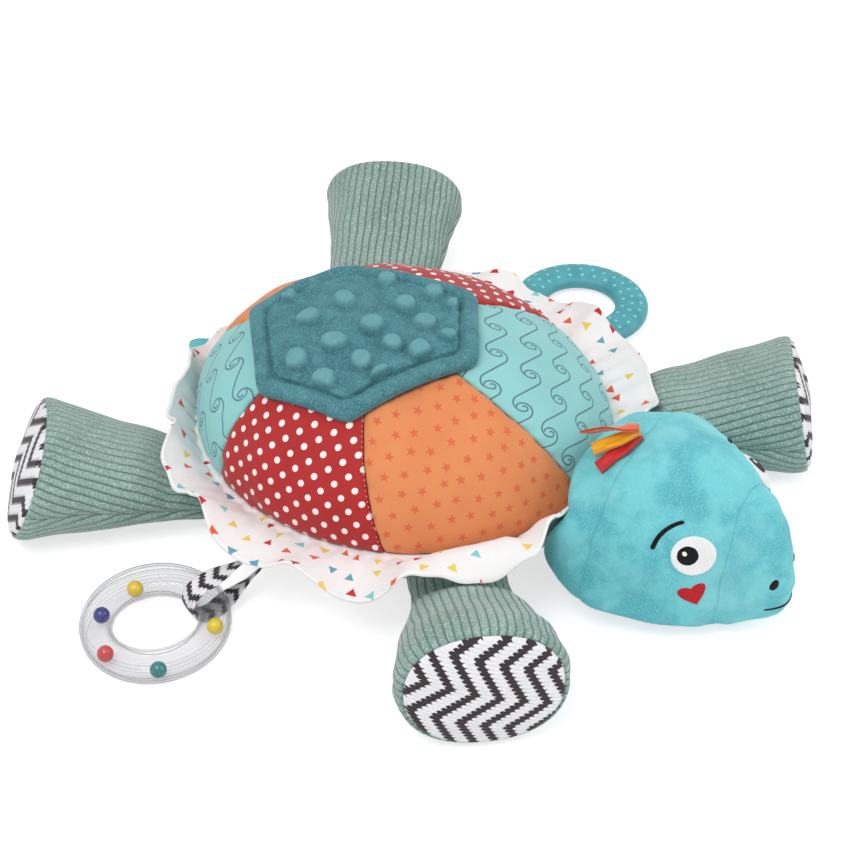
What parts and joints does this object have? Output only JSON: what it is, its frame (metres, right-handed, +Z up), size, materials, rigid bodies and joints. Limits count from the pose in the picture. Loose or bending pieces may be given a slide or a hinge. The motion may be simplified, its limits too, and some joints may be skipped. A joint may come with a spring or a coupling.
{
  "type": "plush activity turtle",
  "caption": "Soft stuffed turtle with a patchwork shell, a lift-up flap, corduroy flippers, a frill, a clear rattle ring and a teething ring on webbing loops.",
  "frame": {"origin": "centre of the belly's flat foot, on the surface the turtle stands on", "axes": "+Z up; the head looks along -Y; the turtle's left side is +X"},
  "size_m": [0.4187, 0.404, 0.1092],
  "materials": {
    "belly_cloth": "soft woven",
    "stuffing": "loose fibre",
    "wave_print": "printed woven, matte",
    "dot_print": "printed woven, matte",
    "star_print": "printed woven, matte",
    "centre_cloth": "woven, matte",
    "bumpy_plush": "short dotted pile",
    "triangle_print": "printed woven, matte",
    "corduroy": "ribbed pile",
    "zigzag_knit": "knitted, matte",
    "head_plush": "short pile with a sheen",
    "eye_white": "embroidered",
    "black_thread": "embroidered",
    "red_thread": "embroidered",
    "red_satin": "satin ribbon",
    "yellow_satin": "satin ribbon",
    "orange_satin": "satin ribbon",
    "clear_plastic": "clear, glossy",
    "yellow_bead": "glossy",
    "blue_bead": "glossy",
    "red_bead": "glossy",
    "teal_bead": "glossy",
    "green_bead": "glossy",
    "teether_rubber": "satin silicone",
    "zigzag_webbing": "woven webbing"
  },
  "bodies": {
    "body": {"belly_panel": "belly_cloth", "body_stuffing": "stuffing", "shell_wave_patch_left": "wave_print", "shell_dot_patch_left": "dot_print", "shell_star_patch_left": "star_print", "shell_wave_patch_right": "wave_print", "shell_dot_patch_right": "dot_print", "shell_star_patch_right": "star_print", "shell_centre_patch": "centre_cloth", "frill": "triangle_print"},
    "flap": {"peekaboo_flap": "bumpy_plush"},
    "front_right_flipper": {"front_right_flipper_upper_cover": "corduroy", "front_right_flipper_lower_cover": "corduroy", "front_right_flipper_stuffing": "stuffing", "front_right_flipper_sole": "zigzag_knit"},
    "front_left_flipper": {"front_left_flipper_upper_cover": "corduroy", "front_left_flipper_lower_cover": "corduroy", "front_left_flipper_stuffing": "stuffing", "front_left_flipper_sole": "zigzag_knit"},
    "rear_right_flipper": {"rear_right_flipper_upper_cover": "corduroy", "rear_right_flipper_lower_cover": "corduroy", "rear_right_flipper_stuffing": "stuffing", "rear_right_flipper_sole": "zigzag_knit"},
    "rear_left_flipper": {"rear_left_flipper_upper_cover": "corduroy", "rear_left_flipper_lower_cover": "corduroy", "rear_left_flipper_stuffing": "stuffing", "rear_left_flipper_sole": "zigzag_knit"},
    "tail": {"tail": "head_plush"},
    "head": {"head_back_cover": "head_plush", "head_face_cover": "head_plush", "muzzle_cover": "head_plush", "head_stuffing": "stuffing", "eye_white_left": "eye_white", "pupil_left": "black_thread", "eyebrow_left": "black_thread", "cheek_heart_left": "red_thread", "nostril_left": "black_thread", "eye_white_right": "eye_white", "pupil_right": "black_thread", "eyebrow_right": "black_thread", "cheek_heart_right": "red_thread", "nostril_right": "black_thread", "smile": "black_thread"},
    "ribbon_red": {"ribbon_red": "red_satin"},
    "ribbon_yellow": {"ribbon_yellow": "yellow_satin"},
    "ribbon_orange": {"ribbon_orange": "orange_satin"},
    "rattle_loop": {"rattle_webbing_loop": "zigzag_webbing"},
    "rattle_ring": {"rattle_ring_upper": "clear_plastic", "rattle_ring_lower": "clear_plastic"},
    "bead_yellow_left": {"rattle_bead_yellow_left": "yellow_bead"},
    "bead_blue": {"rattle_bead_blue": "blue_bead"},
    "bead_red": {"rattle_bead_red": "red_bead"},
    "bead_teal": {"rattle_bead_teal": "teal_bead"},
    "bead_yellow_right": {"rattle_bead_yellow_right": "yellow_bead"},
    "bead_green": {"rattle_bead_green": "green_bead"},
    "teether_loop": {"teether_webbing_loop": "zigzag_webbing"},
    "teether_ring": {"teething_ring": "teether_rubber"}
  },
  "joints": [
    {"name": "flap_lift", "type": "hinge", "parent": "body", "child": "flap", "pos_m": [0.0073, 0.07005, 0.094], "axis": [-0.8445, 0.5157, -0.1446], "range_deg": [0, 150]},
    {"name": "front_right_flipper_lift", "type": "hinge", "parent": "body", "child": "front_right_flipper", "pos_m": [-0.07788, -0.07512, 0.033], "axis": [-0.6277, 0.7785, 0], "range_deg": [0, 45], "deforming": ["frill"]},
    {"name": "front_left_flipper_lift", "type": "hinge", "parent": "body", "child": "front_left_flipper", "pos_m": [0.07042, -0.08308, 0.033], "axis": [-0.8823, -0.4707, 0], "range_deg": [0, 45], "deforming": ["frill"]},
    {"name": "rear_right_flipper_lift", "type": "hinge", "parent": "body", "child": "rear_right_flipper", "pos_m": [-0.07699, 0.07615, 0.033], "axis": [0.82, 0.5724, 0], "range_deg": [0, 45], "deforming": ["frill"]},
    {"name": "rear_left_flipper_lift", "type": "hinge", "parent": "body", "child": "rear_left_flipper", "pos_m": [0.08256, 0.0692, 0.033], "axis": [0.4087, -0.9127, 0], "range_deg": [0, 45], "deforming": ["frill"]},
    {"name": "tail_lift", "type": "hinge", "parent": "body", "child": "tail", "pos_m": [0, 0.112, 0.033], "axis": [1, 0, 0], "range_deg": [0, 45], "deforming": ["frill"]},
    {"name": "head_nod", "type": "hinge", "parent": "body", "child": "head", "pos_m": [-0.00166, -0.11994, 0.058], "axis": [-0.9972, 0.0753, 0], "range_deg": [0, 25], "deforming": ["frill"]},
    {"name": "ribbon_red_lift", "type": "hinge", "parent": "head", "child": "ribbon_red", "pos_m": [-0.0111, -0.1393, 0.0893], "axis": [0.6586, 0.7525, 0], "range_deg": [0, 40]},
    {"name": "ribbon_yellow_lift", "type": "hinge", "parent": "ribbon_red", "child": "ribbon_yellow", "pos_m": [-0.0111, -0.1393, 0.0909], "axis": [0.8429, 0.538, 0], "range_deg": [0, 40]},
    {"name": "ribbon_orange_lift", "type": "hinge", "parent": "ribbon_yellow", "child": "ribbon_orange", "pos_m": [-0.0111, -0.1393, 0.0923], "axis": [0.9366, 0.3505, 0], "range_deg": [0, 40]},
    {"name": "rattle_loop_swing", "type": "hinge", "parent": "body", "child": "rattle_loop", "pos_m": [-0.10452, 0.00934, 0.0305], "axis": [0.4473, 0.8944, 0], "range_deg": [0, 60], "deforming": ["frill"]},
    {"name": "rattle_ring_turn", "type": "hinge", "parent": "rattle_loop", "child": "rattle_ring", "pos_m": [-0.17171, 0.04294, 0.01035], "axis": [-0.0412, 0.0206, 0.9989], "continuous": true},
    {"name": "bead_yellow_left_roll", "type": "hinge", "parent": "rattle_ring", "child": "bead_yellow_left", "pos_m": [-0.17171, 0.04294, 0.01035], "axis": [-0.0412, 0.0206, 0.9989], "range_deg": [-21.5, 14.5]},
    {"name": "bead_blue_roll", "type": "hinge", "parent": "rattle_ring", "child": "bead_blue", "pos_m": [-0.17171, 0.04294, 0.01035], "axis": [-0.0412, 0.0206, 0.9989], "range_deg": [-14.5, 18]},
    {"name": "bead_red_roll", "type": "hinge", "parent": "rattle_ring", "child": "bead_red", "pos_m": [-0.17171, 0.04294, 0.01035], "axis": [-0.0412, 0.0206, 0.9989], "range_deg": [-18, 21]},
    {"name": "bead_teal_roll", "type": "hinge", "parent": "rattle_ring", "child": "bead_teal", "pos_m": [-0.17171, 0.04294, 0.01035], "axis": [-0.0412, 0.0206, 0.9989], "range_deg": [-21, 31.5]},
    {"name": "bead_yellow_right_roll", "type": "hinge", "parent": "rattle_ring", "child": "bead_yellow_right", "pos_m": [-0.17171, 0.04294, 0.01035], "axis": [-0.0412, 0.0206, 0.9989], "range_deg": [-31.5, 19.5]},
    {"name": "bead_green_roll", "type": "hinge", "parent": "rattle_ring", "child": "bead_green", "pos_m": [-0.17171, 0.04294, 0.01035], "axis": [-0.0412, 0.0206, 0.9989], "range_deg": [-19.5, 21.5]},
    {"name": "teether_loop_swing", "type": "hinge", "parent": "body", "child": "teether_loop", "pos_m": [0.1046, -0.01192, 0.0305], "axis": [-0.096, -0.9954, 0], "range_deg": [0, 60], "deforming": ["frill"]},
    {"name": "teething_ring_turn", "type": "hinge", "parent": "teether_loop", "child": "teether_ring", "pos_m": [0.17003, -0.01823, 0.00665], "axis": [0.0454, -0.0044, 0.999], "continuous": true}
  ]
}
